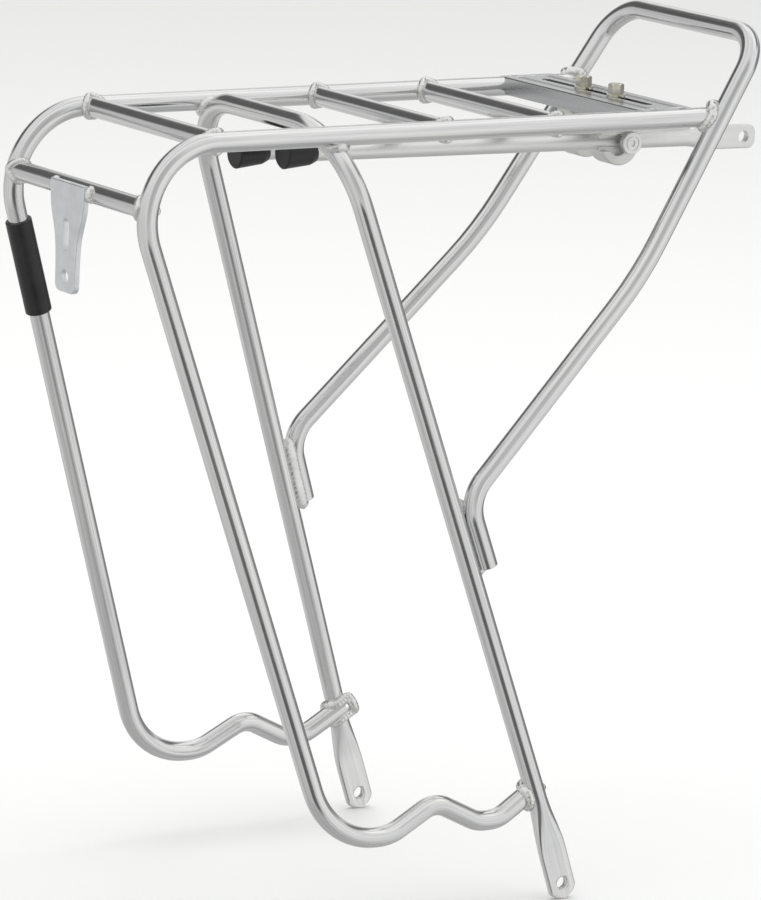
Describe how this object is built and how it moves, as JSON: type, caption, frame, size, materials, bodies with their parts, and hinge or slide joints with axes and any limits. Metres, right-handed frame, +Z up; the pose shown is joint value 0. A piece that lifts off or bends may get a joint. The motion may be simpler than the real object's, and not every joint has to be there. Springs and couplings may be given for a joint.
{
  "type": "bicycle rear rack",
  "caption": "Tubular rear bicycle rack with a barred deck, waved side hoops, pressed-flat feet, a raised front loop and adjustable front stays.",
  "frame": {"origin": "midway between the two dropout holes of the feet", "axes": "+X forward towards the saddle post, +Y the bicycle's left, +Z up"},
  "size_m": [0.3912, 0.1988, 0.4296],
  "materials": {
    "tube_aluminium": "polished",
    "plate_aluminium": "satin extruded",
    "bracket_aluminium": "satin pressed",
    "rod_aluminium": "satin",
    "cast_aluminium": "tumbled casting",
    "zinc_steel": "zinc plated",
    "black_rubber": "moulded satin",
    "black_vinyl": "matte vinyl"
  },
  "bodies": {
    "frame": {"leg_arch": "tube_aluminium", "front_loop": "tube_aluminium", "side_hoop_right": "tube_aluminium", "side_hoop_left": "tube_aluminium", "crossbar_rear": "tube_aluminium", "crossbar_middle": "tube_aluminium", "crossbar_front": "tube_aluminium", "lamp_crossbar": "tube_aluminium", "slotted_plate": "plate_aluminium", "light_bracket": "bracket_aluminium", "tube_sleeve": "black_vinyl"},
    "bolt_right": {"slot_bolt_right": "zinc_steel", "slot_washer_right": "zinc_steel"},
    "clamp_right": {"stay_clamp_right": "cast_aluminium", "clamp_set_bolt_right": "zinc_steel"},
    "stay_right": {"stay_rod_right": "rod_aluminium", "stay_cap_right": "black_rubber"},
    "bolt_left": {"slot_bolt_left": "zinc_steel", "slot_washer_left": "zinc_steel"},
    "clamp_left": {"stay_clamp_left": "cast_aluminium", "clamp_set_bolt_left": "zinc_steel"},
    "stay_left": {"stay_rod_left": "rod_aluminium", "stay_cap_left": "black_rubber"}
  },
  "joints": [
    {"name": "bolt_slide_right", "type": "slide", "parent": "frame", "child": "bolt_right", "axis": [0, 1, 0], "range_m": [-0.012, 0]},
    {"name": "clamp_swivel_right", "type": "hinge", "parent": "bolt_right", "child": "clamp_right", "pos_m": [0.0655, -0.0175, 0.3591], "axis": [0, 0, 1], "range_deg": [-1.8, 2.5]},
    {"name": "stay_slide_right", "type": "slide", "parent": "clamp_right", "child": "stay_right", "axis": [0.9999, 0, -0.012], "range_m": [-0.01, 0.15]},
    {"name": "bolt_slide_left", "type": "slide", "parent": "frame", "child": "bolt_left", "axis": [0, 1, 0], "range_m": [0, 0.012]},
    {"name": "clamp_swivel_left", "type": "hinge", "parent": "bolt_left", "child": "clamp_left", "pos_m": [0.0655, 0.0115, 0.3591], "axis": [0, 0, 1], "range_deg": [-2.5, 1.8]},
    {"name": "stay_slide_left", "type": "slide", "parent": "clamp_left", "child": "stay_left", "axis": [1, 0, 0.0061], "range_m": [-0.01, 0.15]}
  ]
}
